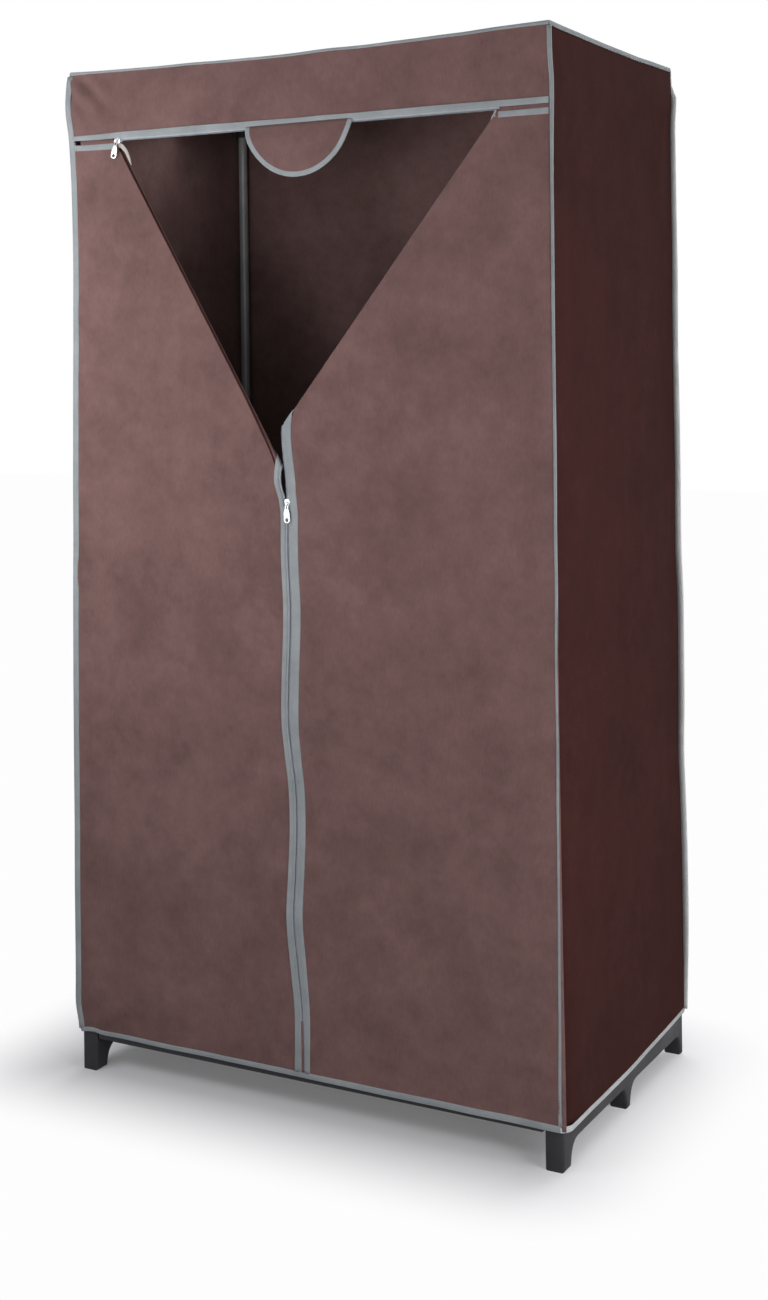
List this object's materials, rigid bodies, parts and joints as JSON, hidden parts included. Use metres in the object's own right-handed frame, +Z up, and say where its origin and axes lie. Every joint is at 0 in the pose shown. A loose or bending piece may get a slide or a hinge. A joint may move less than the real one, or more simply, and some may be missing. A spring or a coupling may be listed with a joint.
{
  "type": "portable fabric wardrobe",
  "caption": "Freestanding fabric wardrobe: zipped cloth cover with folded-in front corners over a steel tube frame, on a moulded plastic base with feet.",
  "frame": {"origin": "on the floor, under the middle of the whole part", "axes": "+Z up, -Y towards the front with the zips, +X to the right seen from the front"},
  "size_m": [0.8436, 0.5084, 1.6],
  "materials": {
    "cover_cloth": "brown non-woven cloth, matt with a faint mottling",
    "bias_binding": "grey woven bias binding, stitched",
    "zip_tape": "grey woven zip tape with a nylon coil",
    "moulded_plastic": "black injection-moulded polypropylene, fine satin",
    "tube_steel": "grey powder-coated steel tube",
    "plated_zinc": "nickel-plated zinc die casting"
  },
  "bodies": {
    "cabinet": {"base_side_left": "moulded_plastic", "base_side_right": "moulded_plastic", "base_rail_front": "moulded_plastic", "base_rail_rear": "moulded_plastic", "floor_panel": "cover_cloth", "lower_upright_front_left": "tube_steel", "lower_upright_rear_left": "tube_steel", "lower_upright_front_right": "tube_steel", "lower_upright_rear_right": "tube_steel", "upper_upright_front_left": "tube_steel", "upper_upright_rear_left": "tube_steel", "upper_upright_front_right": "tube_steel", "upper_upright_rear_right": "tube_steel", "mid_coupler_front_left": "moulded_plastic", "mid_coupler_rear_left": "moulded_plastic", "mid_coupler_front_right": "moulded_plastic", "mid_coupler_rear_right": "moulded_plastic", "top_corner_front_left": "moulded_plastic", "top_corner_rear_left": "moulded_plastic", "top_corner_front_right": "moulded_plastic", "top_corner_rear_right": "moulded_plastic", "mid_side_bar_left": "tube_steel", "mid_side_bar_right": "tube_steel", "top_side_bar_left": "tube_steel", "top_side_bar_right": "tube_steel", "rail_socket_left": "moulded_plastic", "rail_socket_right": "moulded_plastic", "top_front_bar": "tube_steel", "top_rear_bar": "tube_steel", "hanging_rail": "tube_steel", "roof_panel": "cover_cloth", "rear_panel": "cover_cloth", "header_panel": "cover_cloth", "side_panel_left": "cover_cloth", "side_panel_right": "cover_cloth", "front_panel_left": "cover_cloth", "front_panel_right": "cover_cloth", "top_binding": "bias_binding", "hem_binding": "bias_binding", "corner_binding_front_left": "bias_binding", "corner_binding_rear_left": "bias_binding", "corner_binding_front_right": "bias_binding", "corner_binding_rear_right": "bias_binding", "panel_top_binding_left": "bias_binding", "panel_top_binding_right": "bias_binding", "header_zip_tape": "zip_tape", "front_zip_tape_left": "zip_tape", "front_zip_tape_right": "zip_tape", "zip_bottom_patch": "cover_cloth"},
    "left_flap": {"corner_flap_left": "cover_cloth"},
    "right_flap": {"corner_flap_right": "cover_cloth"},
    "tab": {"centre_tab": "cover_cloth", "tab_binding": "bias_binding"},
    "cross_slider": {"slider_cross": "plated_zinc"},
    "cross_pull": {"pull_cross": "plated_zinc"},
    "front_slider": {"slider_front": "plated_zinc"},
    "front_pull": {"pull_front": "plated_zinc"}
  },
  "joints": [
    {"name": "left_flap_fold", "type": "hinge", "parent": "cabinet", "child": "left_flap", "pos_m": [-0.33, -0.2427, 1.4818], "axis": [0.5071, 0, -0.8619], "range_deg": [0, 135]},
    {"name": "right_flap_fold", "type": "hinge", "parent": "cabinet", "child": "right_flap", "pos_m": [0.341, -0.2427, 1.4818], "axis": [0.6293, 0, 0.7772], "range_deg": [0, 135]},
    {"name": "tab_lift", "type": "hinge", "parent": "cabinet", "child": "tab", "pos_m": [0.0115, -0.2477, 1.4972], "axis": [-1, 0, 0], "range_deg": [0, 140]},
    {"name": "cross_slider_travel", "type": "slide", "parent": "cabinet", "child": "cross_slider", "axis": [1, 0, 0], "range_m": [0, 0.656]},
    {"name": "cross_pull_swing", "type": "hinge", "parent": "cross_slider", "child": "cross_pull", "pos_m": [-0.3225, -0.249, 1.485], "axis": [-1, 0, 0], "range_deg": [0, 120]},
    {"name": "front_slider_travel", "type": "slide", "parent": "cabinet", "child": "front_slider", "axis": [-0.0179, 0, 0.9998], "range_m": [-0.767, 0.549]},
    {"name": "front_pull_swing", "type": "hinge", "parent": "front_slider", "child": "front_pull", "pos_m": [-0.01587, -0.249, 0.919], "axis": [-1, 0, 0], "range_deg": [0, 150]}
  ]
}
